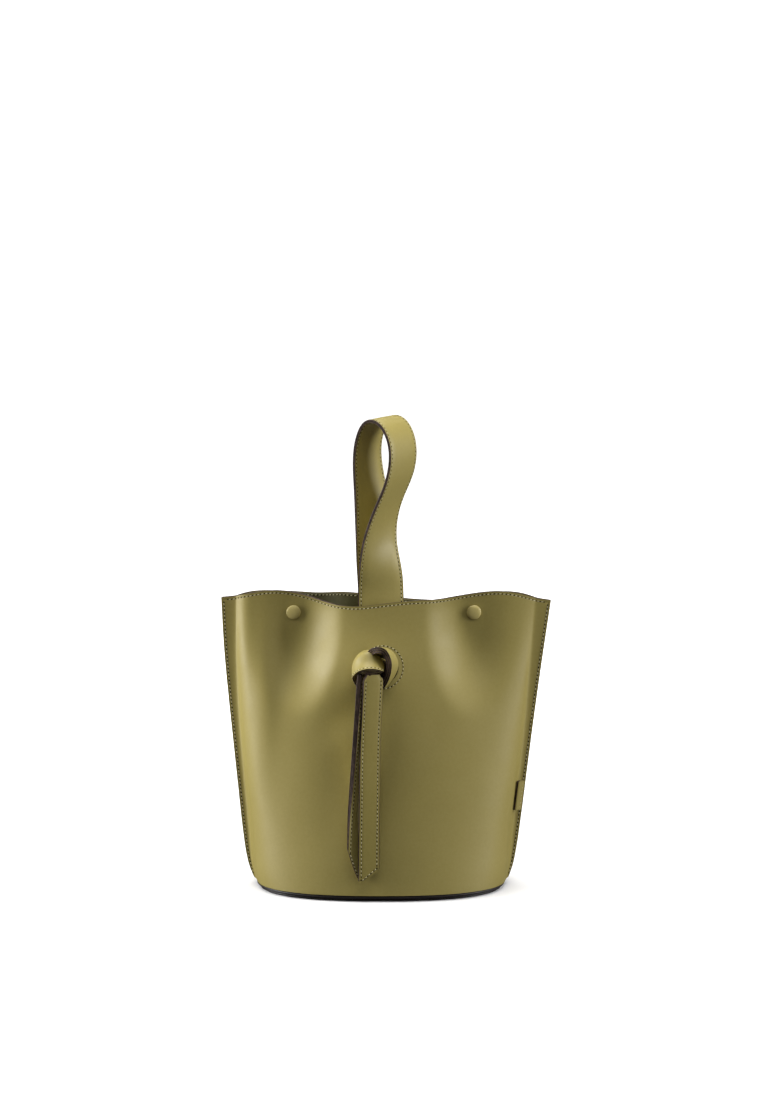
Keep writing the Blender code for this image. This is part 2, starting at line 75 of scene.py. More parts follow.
# Each panel's net of control points: shares of the half width, shares of the height, and the rim's y and z
# from left to right. Facings and linings reach over spans of the net's rows.
HALF_COLUMNS = (1.0, 0.985, 0.94, 0.86, 0.74, 0.58, 0.40, 0.20)
ROWS = (0.0, 0.05, 0.16, 0.35, 0.58, 0.80, 0.92, 1.0)
FRONT_RIM_Y = (0, -0.5, -2.5, -8, -8, -8, -11, -18, -25, -25, -21, -16, -11.5, -8, -6, -4, -1.5, -0.5, 0)
FRONT_RIM_Z = (249.4, 250.4, 251.2, 253.4, 255.4, 257.6, 255.0, 248.4, 244.4, 248.0,
               250.2, 249.9, 253.7, 256.6, 254.8, 251.4, 249.4, 248.6, 246.8)
BACK_RIM_Y = (0, 0.5, 1.5, 5, 10, 9, 1, 12, 24, 18, 12, 9, 1, 8, 10, 5, 1.5, 0.5, 0)
BACK_RIM_Z = (249.4, 250.4, 251, 252.2, 253.6, 254.4, 253.4, 252, 249.4, 247.2,
              245.2, 244.6, 249.6, 253.6, 252.6, 250.8, 249.4, 248.6, 246.8)
FACING_ROWS = (6.0, 6.97)
LINING_ROWS = (0, 5.93)
STRAIGHTENING = 0.2
BELLY = 2.5

# Tie hole, with the dimple that the knot presses into the leather around it
HOLE_X = 0.8
HOLE_Z = 195.0
HOLE_RADIUS = 14.0
HOLE_STITCH_RADIUS = 18.0
HOLE_PATCH_RADIUS = 20.0
HOLE_PATCH_THICK = 1.0
DIMPLE_DEPTH = 3.0
DIMPLE_RADIUS = 20.0

# Press studs: the panels meet flat around each one, and part again further away. Below a stud, distances
# are stretched, so that its valley is longer downwards.
SNAP_X = {"left": -74.5, "right": 79.0}
SNAP_Z = 237.5
SNAP_DEPTH = 4.6
SNAP_FLAT = 7.5
SNAP_FADE = 44.0
SNAP_STRETCH = 0.5
SNAP_CAP_RADIUS = 6.1
SNAP_CAP_LIFT = 0.1

# Strap and tails. A path's points are x, y, z and the direction of the strap's width in degrees.
STRAP_WIDTH = 38.5
STRAP_THICK = 2.6
STRAP_PLIES = 2
STRAP_STEPS = 420
TAIL_WIDTH = 17.6
TAIL_THICK = 4.4
TAIL_PLIES = 4
TAIL_STEPS = 150
PLY_CORNER = 0.5
NOTCH_DEPTH = 0.6
STRAP_PATH = (
    (0.8, -22.5, 212, 0), (0.8, -21.5, 222, 0), (0.4, -18.5, 238, 0), (0, -14.2, 254, 5),
    (0, -12.5, 266, 12), (-1, -12.2, 280, 27), (-1.7, -11.8, 295, 41), (0.6, -12, 313, 52),
    (5.9, -13, 331, 57), (12.4, -15, 346, 57), (16.7, -16.5, 358.5, 55), (18.6, -17.5, 371, 55),
    (18.2, -17.2, 382, 55), (15.6, -15.2, 392, 55), (10.4, -11.5, 400.8, 55), (2.6, -6, 404.6, 55),
    (-4.6, -1, 401, 55), (-9, 2, 391, 55), (-11.4, 3.8, 380, 55), (-11.9, 4.2, 368, 54),
    (-10.9, 4, 356, 51), (-8.6, 2.2, 338, 46), (-6.4, 0, 319, 38), (-3.9, -3, 297, 28),
    (-2.6, -5.6, 281, 19), (-1, -7.5, 266, 12), (-0.3, -5, 254, 4), (0, 2, 238, 0), (0, 10.5, 216, 0),
    (0, 16.5, 199, 0), (0, 21, 182, 0),
)
FRONT_TAIL_PATH = (
    (-6.8, -55, 193, 20), (-7, -56, 180, 18), (-8.6, -59.5, 150, 15), (-9.6, -64, 120, 12),
    (-9.8, -69.9, 76, 8), (-10.2, -73, 48, 6), (-10.3, -75.6, 15, 6),
)
REAR_TAIL_PATH = (
    (-16.5, -50, 192, 78), (-17.3, -52, 180, 76), (-17.8, -54.9, 150, 72), (-18.2, -57.5, 120, 62),
    (-19, -61.8, 76, 42), (-19.7, -68.8, 48, 24), (-19.6, -71.7, 21, 10),
)
FRONT_TAIL_BEVEL = 15.0
REAR_TAIL_BEVEL = 26.0

# Folded side tab
TAB_LOW = 66.0
TAB_HIGH = 91.0
TAB_THICK = 0.8
TAB_LIFT = 3.0
TAB_ROOM = 1.8

# Stitching: the slant is in radians, and a needle hole's size is given as shares of a stitch's
STITCH_PITCH = 3.4
STITCH_LENGTH = 1.8
THREAD_RADIUS = 0.34
STITCH_INSET = 2.15
STITCH_SLANT = 0.2
HOLE_SCALE = (0.80, 1.35, 0.7)

# Folds in the front panel: middle x and z, direction in degrees, half length, half width, height.
# The first is the rise at the knot, then come two hollows near the tails and a soft ridge on each side.
FOLDS = (
    (-9, 194, 0, 29, 26, 5.5),
    (-20, 120, 80, 50, 26, -6.5),
    (-29, 154, 40, 26, 14, -2.5),
    (62, 150, 60, 45, 18, 1.5),
    (-98, 190, 88, 78, 11, 2.6),
)


# ---------------- splines and surfaces
def interpolate(table, value):
    """Straight-line value of a table of (position, value) pairs."""
    places, values = zip(*table)
    return float(np.interp(value, places, values))


def basis(count, positions):
    """Matrix from control points to points of a cubic B-spline that runs between its end points."""
    matrix = np.zeros((len(positions), count))
    for line, position in zip(matrix, positions):
        index = min(int(position), count - 2)
        f = position - index
        weights = ((1 - f) ** 3, 3 * f**3 - 6 * f**2 + 4, -3 * f**3 + 3 * f**2 + 3 * f + 1, f**3)
        for target, weight in enumerate(weights, index - 1):
            if 0 <= target < count:
                line[target] += weight / 6
            else:
                end, beside = (0, 1) if target < 0 else (count - 1, count - 2)
                line[end] += 2 * weight / 6
                line[beside] -= weight / 6
    return matrix


def rise(k):
    """Share of the way from base to rim at a share k of the height; it eases off near the rim."""
    full = 1 - STRAIGHTENING / 2
    if k <= 1 - STRAIGHTENING:
        return k / full
    return 1 - (1 - k) ** 2 / (2 * STRAIGHTENING * full)


def net_point(side, column, k, rim_y, rim_z):
    """Control point of a panel: side is -1 for the front and 1 for the back."""
    half = len(HALF_COLUMNS)
    offset = column - half - 1
    hand = (offset > 0) - (offset < 0)
    z = PANEL_BOTTOM + k * (rim_z[column] - PANEL_BOTTOM)
    seam = interpolate(RIGHT_SEAM if hand > 0 else LEFT_SEAM, z)
    if abs(offset) == half + 1:
        return (hand * seam, 0.0, z)
    share = HALF_COLUMNS[half - abs(offset)] if offset else 0.0
    base_y = side * BASE_HALF_DEPTH * (1 - share**BASE_ROUNDNESS) ** (1 / BASE_ROUNDNESS)
    swell = side * BELLY * math.sin(math.pi * k) * (1 - share**4)
    y = base_y + (rim_y[column] - base_y) * rise(k) + swell
    return (hand * share * (seam - interpolate(FLANGE, z)), y, z)


def control_net(side):
    """Grid of a panel's control points, rows by columns."""
    rim_y = FRONT_RIM_Y if side < 0 else BACK_RIM_Y
    rim_z = FRONT_RIM_Z if side < 0 else BACK_RIM_Z
    return np.array([[net_point(side, c, k, rim_y, rim_z) for c in range(len(rim_y))] for k in ROWS])


NETS = {-1: control_net(-1), 1: control_net(1)}
LAST_COLUMN = len(FRONT_RIM_Y) - 1
LAST_ROW = len(ROWS) - 1


def unit(vectors):
    """Vectors scaled to length 1."""
    return vectors / np.linalg.norm(vectors, axis=-1, keepdims=True)


def soft_step(value):
    """Smooth change from 0 to 1 as the value goes from 0 to 1."""
    value = np.clip(value, 0, 1)
    return value * value * (3 - 2 * value)


def inner_points(side, columns, rows):
    """Grid of points on the inside face of a panel, rows by columns."""
    across = basis(LAST_COLUMN + 1, columns)
    upward = basis(LAST_ROW + 1, rows)
    points = np.einsum("rk,kcx,gc->rgx", upward, NETS[side], across)
    x, z = points[..., 0], points[..., 2]
    y = points[..., 1] + side * GAP / 2
    if side < 0:
        distance = np.hypot(x - HOLE_X, z - HOLE_Z)
        y = y + DIMPLE_DEPTH * np.exp(-((distance / DIMPLE_RADIUS) ** 2) / 2)
    for snap_x in SNAP_X.values():
        drop = np.maximum(SNAP_Z - z, 0) * SNAP_STRETCH + np.maximum(z - SNAP_Z, 0)
        distance = np.hypot(x - snap_x, drop)
        y = y + (side * SNAP_DEPTH - y) * soft_step((SNAP_FADE - distance) / (SNAP_FADE - SNAP_FLAT))
    points[..., 1] = y - (fold_height(x, z) if side < 0 else 0)
    return points


def fold_height(x, z):
    """Height that the folds lift the front panel at each x and z."""
    total = 0
    for fold_x, fold_z, turn, length, width, height in FOLDS:
        forward = (math.cos(math.radians(turn)), math.sin(math.radians(turn)))
        along_fold = (x - fold_x) * forward[0] + (z - fold_z) * forward[1]
        across_fold = (z - fold_z) * forward[0] - (x - fold_x) * forward[1]
        total = total + height * np.exp(-((along_fold / length) ** 2 + (across_fold / width) ** 2))
    return total


def panel_surface(side, columns, rows, distance):
    """Grid at a distance outwards from a panel's inside face, and its outward normals."""
    step = 0.02
    columns, rows = np.asarray(columns, float), np.asarray(rows, float)
    right = inner_points(side, np.minimum(columns + step, LAST_COLUMN), rows)
    left = inner_points(side, np.maximum(columns - step, 0), rows)
    above = inner_points(side, columns, np.minimum(rows + step, LAST_ROW))
    below = inner_points(side, columns, np.maximum(rows - step, 0))
    normal = unit(np.cross(right - left, above - below) * -side)
    return inner_points(side, columns, rows) + normal * distance, normal


# ---------------- mesh helpers
def make_object(name, mesh, *materials):
    """Object with a mesh and its material slots, linked into the scene."""
    obj = bpy.data.objects.new(name, mesh)
    bpy.context.scene.collection.objects.link(obj)
    for item in materials:
        mesh.materials.append(item)
    return obj


def grid_mesh(name, grid, flip=False, wrap=False):
    """Surface through a grid of points in millimetres."""
    grid = np.asarray(grid)
    rows, columns = grid.shape[:2]
    mesh = bpy.data.meshes.new(name)
    index = np.arange(rows * columns).reshape(rows, columns)
    if wrap:
        index = np.hstack([index, index[:, :1]])
    corners = (index[:-1, :-1], index[:-1, 1:], index[1:, 1:], index[1:, :-1])
    corners = np.stack(corners, axis=-1).reshape(-1, 4)
    if flip:
        corners = corners[:, ::-1]
    mesh.from_pydata((grid.reshape(-1, 3) * MM).tolist(), [], corners.tolist())
    mesh.shade_smooth()
    return mesh


def solidify(obj, thickness, outwards, rim_material=None):
    """Thickens a sheet to one side; its new edges may take another material slot."""
    shell = obj.modifiers.new("Thickness", "SOLIDIFY")
    shell.thickness = thickness * MM
    shell.offset = 1.0 if outwards else -1.0
    shell.use_even_offset = True
    if rim_material is not None:
        shell.material_offset_rim = rim_material


def bevel(obj, width, segments=2):
    """Rounds an object's sharp edges."""
    edge = obj.modifiers.new("Edges", "BEVEL")
    edge.width = width * MM
    edge.segments = segments
    edge.limit_method = "ANGLE"
    edge.angle_limit = math.radians(50)
    edge.harden_normals = True


def apply_modifiers(obj):
    """Bakes an object's modifiers into its mesh."""
    graph = bpy.context.evaluated_depsgraph_get()
    graph.update()
    mesh = bpy.data.meshes.new_from_object(obj.evaluated_get(graph))
    old = obj.data
    obj.modifiers.clear()
    obj.data = mesh
    mesh.name = obj.name
    bpy.data.meshes.remove(old)
    return obj


def steps(start, end, count):
    """Evenly spaced values from start to end, in count steps."""
    return np.linspace(start, end, count + 1)


def close_mesh(mesh, dist=None):
    """Closes a tube's open ends, or merges points nearer than dist, and turns all faces outwards."""
    maker = bmesh.new()
    maker.from_mesh(mesh)
    if dist is None:
        loose = [edge for edge in maker.edges if edge.is_boundary]
        bmesh.ops.holes_fill(maker, edges=loose, sides=0)
    else:
        bmesh.ops.remove_doubles(maker, verts=maker.verts, dist=dist)
    bmesh.ops.recalc_face_normals(maker, faces=maker.faces)
    maker.to_mesh(mesh)
    maker.free()


# ---------------- stitching
def stitch_template():
    """Vertices and faces of one stitch along +X, as long as 1 and with radius 1 across."""
    sides, rings = 6, (0.0, 0.12, 0.5, 0.88, 1.0)
    swell = (0.25, 0.85, 1.0, 0.85, 0.25)
    points = []
    for along, size in zip(rings, swell):
        for side in range(sides):
            turn = 2 * math.pi * side / sides
            points.append((along - 0.5, size * math.cos(turn), size * math.sin(turn)))
    faces = []
    for ring in range(len(rings) - 1):
        for side in range(sides):
            here, after = ring * sides + side, ring * sides + (side + 1) % sides
            faces.append((here, after, after + sides, here + sides))
    faces.append(tuple(range(sides))[::-1])
    faces.append(tuple(range((len(rings) - 1) * sides, len(rings) * sides)))
    return np.array(points), faces


def even_places(points, pitch):
    """Evenly spaced places along a polyline, and the length up to each of its points."""
    points = np.asarray(points)
    lengths = np.concatenate([[0], np.cumsum(np.linalg.norm(np.diff(points, axis=0), axis=1))])
    count = max(int(round(lengths[-1] / pitch)), 1)
    places = (np.arange(count) + 0.5) * lengths[-1] / count
    return places, lengths


def along(lengths, values, places):
    """Vectors at places along a polyline, from the values at its points."""
    return np.stack([np.interp(places, lengths, line) for line in np.asarray(values).T], axis=1)


def stitches(name, lines):
    """One mesh of stitches, with a small dark blob of painted shade for the needle hole between each two.

    Each line is a list of points and of the surface normals there.
    """
    thread, thread_faces = stitch_template()
    # Each needle hole is a flat dark blob on the leather: painted shade of the hole's pit.
    hole = thread * HOLE_SCALE
    all_points, all_faces, kinds = [], [], []
    start = 0
    for points, normals in lines:
        places, lengths = even_places(points, STITCH_PITCH)
        pitch = lengths[-1] / len(places)
        for shape, shift in ((thread, 0.0), (hole, pitch / 2)):
            spots = places + shift
            if shift:
                spots = np.concatenate([[places[0] - shift], spots])
            centres = along(lengths, points, spots)
            ups = unit(along(lengths, normals, spots))
            ahead = unit(along(lengths, points, spots + 0.4) - along(lengths, points, spots - 0.4))
            sides = np.cross(ups, ahead)
            slanted = ahead * math.cos(STITCH_SLANT) + sides * math.sin(STITCH_SLANT)
            sides = np.cross(ups, slanted)
            bow = 0.0 if shift else (0.25 - shape[:, 0:1] ** 2) * 0.8 - 0.05
            for centre, forward, side, up in zip(centres, slanted, sides, ups):
                all_points.append(centre + shape[:, 0:1] * forward * STITCH_LENGTH
                                  + shape[:, 1:2] * side * THREAD_RADIUS
                                  + (shape[:, 2:3] * THREAD_RADIUS + bow) * up)
                all_faces.extend([tuple(start + i for i in face) for face in thread_faces])
                kinds.extend([int(shift > 0)] * len(thread_faces))
                start += len(shape)
    mesh = bpy.data.meshes.new(name)
    mesh.from_pydata((np.concatenate(all_points) * MM).tolist(), [], all_faces)
    mesh.shade_smooth()
    obj = make_object(name, mesh, THREAD, HOLE_SHADE)
    mesh.polygons.foreach_set("material_index", kinds)
    return obj


# ---------------- materials
class Nodes:
    """Short-hand for building one material's node tree."""

    def __init__(self, name, roughness):
        self.material = bpy.data.materials.new(name)
        self.material.use_nodes = True
        self.tree = self.material.node_tree
        self.shader = self.tree.nodes["Principled BSDF"]
        self.shader.inputs["Roughness"].default_value = roughness
        self.place = self.add("ShaderNodeTexCoord").outputs["Object"]

    def add(self, kind, **settings):
        node = self.tree.nodes.new(kind)
        for key, value in settings.items():
            setattr(node, key, value)
        return node

    def link(self, source, target):
        self.tree.links.new(source, target)

    def set(self, socket, value):
        self.shader.inputs[socket].default_value = value

    def feed(self, sockets, values):
        """Gives each socket a number, a colour or another node's output."""
        for socket, value in zip(sockets, values):
            if isinstance(value, tuple):
                socket.default_value = (*value, 1.0)
            elif isinstance(value, (int, float)):
                socket.default_value = value
            else:
                self.link(value, socket)

    def colour(self, value):
        self.link(value, self.shader.inputs["Base Color"])

    def noise(self, scale, detail=2.0, roughness=0.5, distortion=0.0):
        node = self.add("ShaderNodeTexNoise")
        self.link(self.place, node.inputs["Vector"])
        numbers = {"Scale": scale, "Detail": detail, "Roughness": roughness, "Distortion": distortion}
        for socket, number in numbers.items():
            node.inputs[socket].default_value = number
        return node.outputs["Fac"]

    def cells(self, scale):
        node = self.add("ShaderNodeTexVoronoi")
        self.link(self.place, node.inputs["Vector"])
        node.inputs["Scale"].default_value = scale
        return node.outputs["Distance"]

    def remap(self, value, low, high, to_low=0.0, to_high=1.0, smooth=False):
        node = self.add("ShaderNodeMapRange", clamp=True)
        if smooth:
            node.interpolation_type = "SMOOTHSTEP"
        self.link(value, node.inputs["Value"])
        numbers = {"From Min": low, "From Max": high, "To Min": to_low, "To Max": to_high}
        for socket, number in numbers.items():
            node.inputs[socket].default_value = number
        return node.outputs["Result"]

    def math(self, operation, first, second):
        node = self.add("ShaderNodeMath", operation=operation)
        self.feed(node.inputs, (first, second))
        return node.outputs[0]

    def mix(self, factor, first, second):
        node = self.add("ShaderNodeMix", data_type="RGBA")
        self.feed((node.inputs[0], node.inputs[6], node.inputs[7]), (factor, first, second))
        return node.outputs[2]

    def bump(self, layers):
        """Stacks bumps given as (height, strength, depth in millimetres)."""
        normal = None
        for height, strength, depth in layers:
            node = self.add("ShaderNodeBump")
            node.inputs["Strength"].default_value = strength
            node.inputs["Distance"].default_value = depth * MM
            self.link(height, node.inputs["Height"])
            if normal is not None:
                self.link(normal, node.inputs["Normal"])
            normal = node.outputs["Normal"]
        self.link(normal, self.shader.inputs["Normal"])


def leather(name, light, dark, roughness, groove=None):
    """Smooth semi-gloss leather: soft tone changes, fine pores, and pressed stitch lines darkened partly by
    the creased leather's own tone and partly by painted shade in the groove.

    groove is the distance of the stitch line from the piece's edge, in millimetres.
    """
    n = Nodes(name, roughness)
    tone = n.remap(n.noise(9.0, 3.0, 0.55), 0.32, 0.68)
    fine = n.remap(n.noise(420.0, 4.0, 0.6), 0.35, 0.65, 0.0, 0.35)
    colour = n.mix(n.math("ADD", n.math("MULTIPLY", tone, 0.65), fine), dark, light)
    pores = n.cells(1400.0)
    wrinkles = n.noise(260.0, 5.0, 0.62, 0.4)
    layers = [(wrinkles, 0.10, 0.25), (pores, 0.10, 0.10)]
    if groove is not None:
        edge = n.add("ShaderNodeAttribute", attribute_name="edge_mm").outputs["Fac"]
        offset = n.math("ABSOLUTE", n.math("SUBTRACT", edge, groove), 0.0)
        pressed = n.remap(offset, 0.0, 1.1, smooth=True)
        # Darkens the pressed stitch groove: partly the creased leather's own tone, partly painted shade in
        # the groove.
        colour = n.mix(n.remap(pressed, 0.0, 1.0, 0.15, 0.0), colour, tuple(0.45 * c for c in dark))
        burnish = n.remap(edge, 0.0, 1.6, 0.5, 0.0, smooth=True)
        colour = n.mix(burnish, colour, tuple(0.5 * c for c in dark))
        layers.append((pressed, 0.6, 0.5))
    n.colour(colour)
    gloss = n.remap(n.noise(60.0, 3.0), 0.3, 0.7, roughness - 0.05, roughness + 0.06)
    n.link(gloss, n.shader.inputs["Roughness"])
    n.set("Coat Weight", 0.04)
    n.set("Coat Roughness", 0.35)
    n.set("Specular IOR Level", 0.40)
    n.bump(layers)
    return n.material


def edge_paint(name):
    """Dark brown edge paint with small brush ripples."""
    n = Nodes(name, 0.6)
    streaks = n.remap(n.noise(240.0, 3.0), 0.35, 0.65)
    colour = n.mix(streaks, (0.024, 0.014, 0.010), (0.060, 0.037, 0.029))
    n.colour(colour)
    n.set("Specular IOR Level", 0.15)
    n.bump([(n.noise(500.0, 3.0), 0.25, 0.25)])
    return n.material


def thread_material(name, colour):
    """Twisted sewing thread."""
    n = Nodes(name, 0.55)
    twist = n.remap(n.noise(2200.0, 1.0), 0.35, 0.65, 0.6, 1.25)
    shade = n.add("ShaderNodeVectorMath", operation="SCALE")
    shade.inputs[0].default_value = colour
    n.link(twist, shade.inputs["Scale"])
    n.colour(shade.outputs[0])
    n.set("Sheen Weight", 0.2)
    n.bump([(n.noise(3000.0, 1.0), 0.4, 0.1)])
    return n.material


def hole_shade(name):
    """Deep painted shade of a needle hole."""
    n = Nodes(name, 0.9)
    shade = n.remap(n.noise(900.0), 0.3, 0.7)
    n.colour(n.mix(shade, (0.012, 0.009, 0.004), (0.022, 0.017, 0.007)))
    n.set("Specular IOR Level", 0.05)
    return n.material


def lining_cloth(name):
    """Plain weave cotton lining."""
    n = Nodes(name, 0.9)
    threads = []
    for axis in ("X", "Z"):
        wave = n.add("ShaderNodeTexWave", wave_type="BANDS", bands_direction=axis)
        n.link(n.place, wave.inputs["Vector"])
        wave.inputs["Scale"].default_value = 520.0
        wave.inputs["Distortion"].default_value = 0.6
        threads.append(wave.outputs["Fac"])
    weave = n.math("MULTIPLY", *threads)
    n.colour(n.mix(weave, (0.045, 0.040, 0.020), (0.105, 0.094, 0.048)))
    n.set("Sheen Weight", 0.15)
    n.bump([(weave, 0.35, 0.3)])
    return n.material


def fibre_board(name):
    """Pressed fibre board with light and dark flecks."""
    n = Nodes(name, 0.85)
    flecks = n.remap(n.noise(700.0, 5.0, 0.7), 0.3, 0.7)
    n.colour(n.mix(flecks, (0.12, 0.10, 0.08), (0.24, 0.21, 0.17)))
    n.bump([(flecks, 0.4, 0.2)])
    return n.material


def stud_metal(name):
    """Antique nickel, worn brighter in places."""
    n = Nodes(name, 0.3)
    n.set("Metallic", 1.0)
    wear = n.remap(n.noise(150.0, 4.0), 0.35, 0.65)
    n.colour(n.mix(wear, (0.32, 0.30, 0.26), (0.52, 0.50, 0.45)))
    n.link(n.remap(wear, 0.0, 1.0, 0.42, 0.26), n.shader.inputs["Roughness"])
    n.bump([(n.noise(900.0, 2.0), 0.15, 0.1)])
    return n.material


def floor_material(name):
    """Matte white that glows softly away from the bag, so that the backdrop stays white."""
    n = Nodes(name, 0.6)
    n.colour(n.mix(n.noise(3.0), (0.90, 0.895, 0.90), (0.93, 0.925, 0.93)))
    reach = n.add("ShaderNodeVectorMath", operation="LENGTH")
    n.link(n.place, reach.inputs[0])
    glow = n.remap(reach.outputs["Value"], 0.20, 0.85, smooth=True)
    n.link(glow, n.shader.inputs["Emission Strength"])
    n.set("Emission Color", (1.0, 1.0, 1.0, 1.0))
    return n.material


# Each leather's tones lie between a light and a dark colour
OLIVE_LIGHT = (0.290, 0.237, 0.068)
OLIVE_DARK = (0.246, 0.199, 0.051)
# The inside leather is the olive leather darkened as painted shade inside the bag.
SHADED_INSIDE_LIGHT = (0.125, 0.117, 0.048)
SHADED_INSIDE_DARK = (0.085, 0.077, 0.031)
# Base leather: dark brown like the edge paint, darkened further to near black as painted shade along the
# bag's foot.
SHADED_BROWN_LIGHT = (0.016, 0.011, 0.009)
SHADED_BROWN_DARK = (0.008, 0.006, 0.005)
# The caps' leather is the olive leather made brighter as painted highlight on the domes.
LIT_CAP_LIGHT = (0.440, 0.365, 0.135)
LIT_CAP_DARK = (0.390, 0.322, 0.112)

PANEL_LEATHER = leather("panel_leather", OLIVE_LIGHT, OLIVE_DARK, 0.54, groove=STITCH_INSET)
STRAP_LEATHER = leather("strap_leather", OLIVE_LIGHT, OLIVE_DARK, 0.46)
KNOT_LEATHER = leather("knot_leather", OLIVE_LIGHT, OLIVE_DARK, 0.50)
# Olive leather brightened as painted highlight, for the press stud caps.
LIT_CAP_LEATHER = leather("lit_cap_leather", LIT_CAP_LIGHT, LIT_CAP_DARK, 0.42)
# Olive leather darkened as painted shade, for the facings and patches inside the bag.
SHADED_INSIDE_LEATHER = leather("shaded_inside_leather", SHADED_INSIDE_LIGHT, SHADED_INSIDE_DARK, 0.55)
SHADED_BASE_LEATHER = leather("base_leather", SHADED_BROWN_LIGHT, SHADED_BROWN_DARK, 0.5)
EDGE_PAINT = edge_paint("edge_paint")
# Light olive thread, its colour raised further as painted highlight on the stitches.
THREAD = thread_material("thread", (0.520, 0.465, 0.250))
HOLE_SHADE = hole_shade("hole_shade")
LINING = lining_cloth("lining_cloth")
BOARD = fibre_board("fibre_board")
METAL = stud_metal("stud_metal")


# ---------------- panels
def edge_distances(grid):
    """Distance of each grid point from the nearer side edge and from the upper edge, in millimetres."""
    across = np.linalg.norm(np.diff(grid, axis=1), axis=2)
    from_left = np.pad(np.cumsum(across, axis=1), ((0, 0), (1, 0)))
    from_side = np.minimum(from_left, from_left[:, -1:] - from_left)
    upward = np.linalg.norm(np.diff(grid, axis=0), axis=2)
    from_bottom = np.pad(np.cumsum(upward, axis=0), ((1, 0), (0, 0)))
    return np.minimum(from_side, from_bottom[-1:] - from_bottom)


def leather_panel(side):
    """Front or back panel: one curved sheet of leather with painted edges."""
    name = SIDES[side] + "_panel"
    columns = steps(0, LAST_COLUMN, 12 * LAST_COLUMN)
    rows = np.concatenate([steps(0, 5, 50)[:-1], steps(5, LAST_ROW, 44)])
    grid = inner_points(side, columns, rows)
    obj = make_object(name + "_leather", grid_mesh(name, grid, flip=side > 0), PANEL_LEATHER, EDGE_PAINT)
    values = edge_distances(grid).reshape(-1).astype(np.float32)
    obj.data.attributes.new("edge_mm", "FLOAT", "POINT").data.foreach_set("value", values)
    solidify(obj, PANEL_THICK, True, rim_material=1)
    bevel(obj, 0.45)
    apply_modifiers(obj)
    if side < 0:
        cut_tie_hole(obj, -36.0)
    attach(obj, "root")
    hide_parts(name)


def cut_tie_hole(obj, y):
    """Cuts the round tie hole along Y, around a middle at the given y."""
    bpy.ops.mesh.primitive_cylinder_add(vertices=64, radius=HOLE_RADIUS * MM, depth=30 * MM)
    cutter = bpy.context.object
    cutter.location = Vector((HOLE_X, y, HOLE_Z)) * MM
    cutter.rotation_euler = (math.pi / 2, 0, 0)
    hole = obj.modifiers.new("Hole", "BOOLEAN")
    hole.object = cutter
    apply_modifiers(obj)
    bpy.data.objects.remove(cutter, do_unlink=True)


def inside_sheet(name, side, span, thickness, slot, *materials):
    """Facing or lining behind a panel, over a span of its net's rows; the last material is for its edges."""
    margin = 2.3
    columns = steps(margin, LAST_COLUMN - margin, 110)
    rows = steps(*span, max(int((span[1] - span[0]) * 12), 8))
    grid, _ = panel_surface(side, columns, rows, -LAYER_GAP)
    obj = make_object(name + "_sheet", grid_mesh(name, grid, flip=side > 0), *materials)
    solidify(obj, thickness, False, rim_material=len(materials) - 1)
    bevel(obj, 0.2, 1)
    apply_modifiers(obj)
    if side < 0 and span == LINING_ROWS:
        cut_tie_hole(obj, -34.0)
    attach(obj, "root")
    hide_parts(name)


def rim_line(side, distance, margin):
    """Points and normals of the stitch line along a panel's rim, at a distance from its inside face."""
    points, normals = [], []
    for column in steps(margin, LAST_COLUMN - margin, 320):
        near = inner_points(side, [column], [LAST_ROW, LAST_ROW - 0.1])[:, 0]
        row = LAST_ROW - 0.1 * STITCH_INSET / np.linalg.norm(near[0] - near[1])
        point, normal = panel_surface(side, [column], [row], distance)
        points.append(point[0, 0])
        normals.append(normal[0, 0] * math.copysign(1, distance))
    return points, normals


def seam_line(side, hand):
    """Points and normals of the stitch line along a panel's side seam, on the outside face."""
    edge = LAST_COLUMN if hand > 0 else 0
    points, normals = [], []
    for row in steps(0.35, LAST_ROW - 0.22, 160):
        near = inner_points(side, [edge, edge - 0.1 * hand], [row])[0]
        column = edge - hand * 0.1 * STITCH_INSET / np.linalg.norm(near[0] - near[1])
        point, normal = panel_surface(side, [column], [row], PANEL_THICK)
        points.append(point[0, 0])
        normals.append(normal[0, 0])
    return points, normals


def panel_stitches():
    """Stitches along the rim, on both faces, and down the side seams of both panels."""
    for side, name in SIDES.items():
        lines = [rim_line(side, PANEL_THICK, 0.45)]
        lines += [seam_line(side, hand) for hand in (-1, 1)]
        lines.append(rim_line(side, -(LAYER_GAP + FACING_THICK), 2.6))
        obj = stitches(name + "_panel_stitches", lines)
        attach(obj, "root")


def hole_circle(radius, distance, turns):
    """Points and normals of a circle around the tie hole, at a distance from the inside face."""
    spots = [front_face_at(HOLE_X + radius * math.cos(turn), HOLE_Z + radius * math.sin(turn), distance)
             for turn in turns]
    return [point for point, _ in spots], [normal for _, normal in spots]


def hole_stitches():
    """Ring of stitches around the tie hole."""
    circle = hole_circle(HOLE_STITCH_RADIUS, PANEL_THICK, steps(0, 2 * math.pi, 96))
    obj = stitches("hole_stitches", [circle])
    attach(obj, "root")


def hole_patch():
    """Round reinforcing patch behind the lining at the tie hole."""
    distance = -(LAYER_GAP + LINING_THICK + GAP)
    turns = steps(0, 2 * math.pi, 40)[:-1]
    radii = steps(HOLE_RADIUS, HOLE_PATCH_RADIUS, 2)
    rows = [hole_circle(radius, distance, turns)[0] for radius in radii]
    mesh = grid_mesh("hole_patch", rows, wrap=True)
    obj = make_object("hole_patch_ring", mesh, SHADED_INSIDE_LEATHER, EDGE_PAINT)
    solidify(obj, HOLE_PATCH_THICK, False, rim_material=1)
    apply_modifiers(obj)
    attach(obj, "root")
    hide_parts("hole_patch")


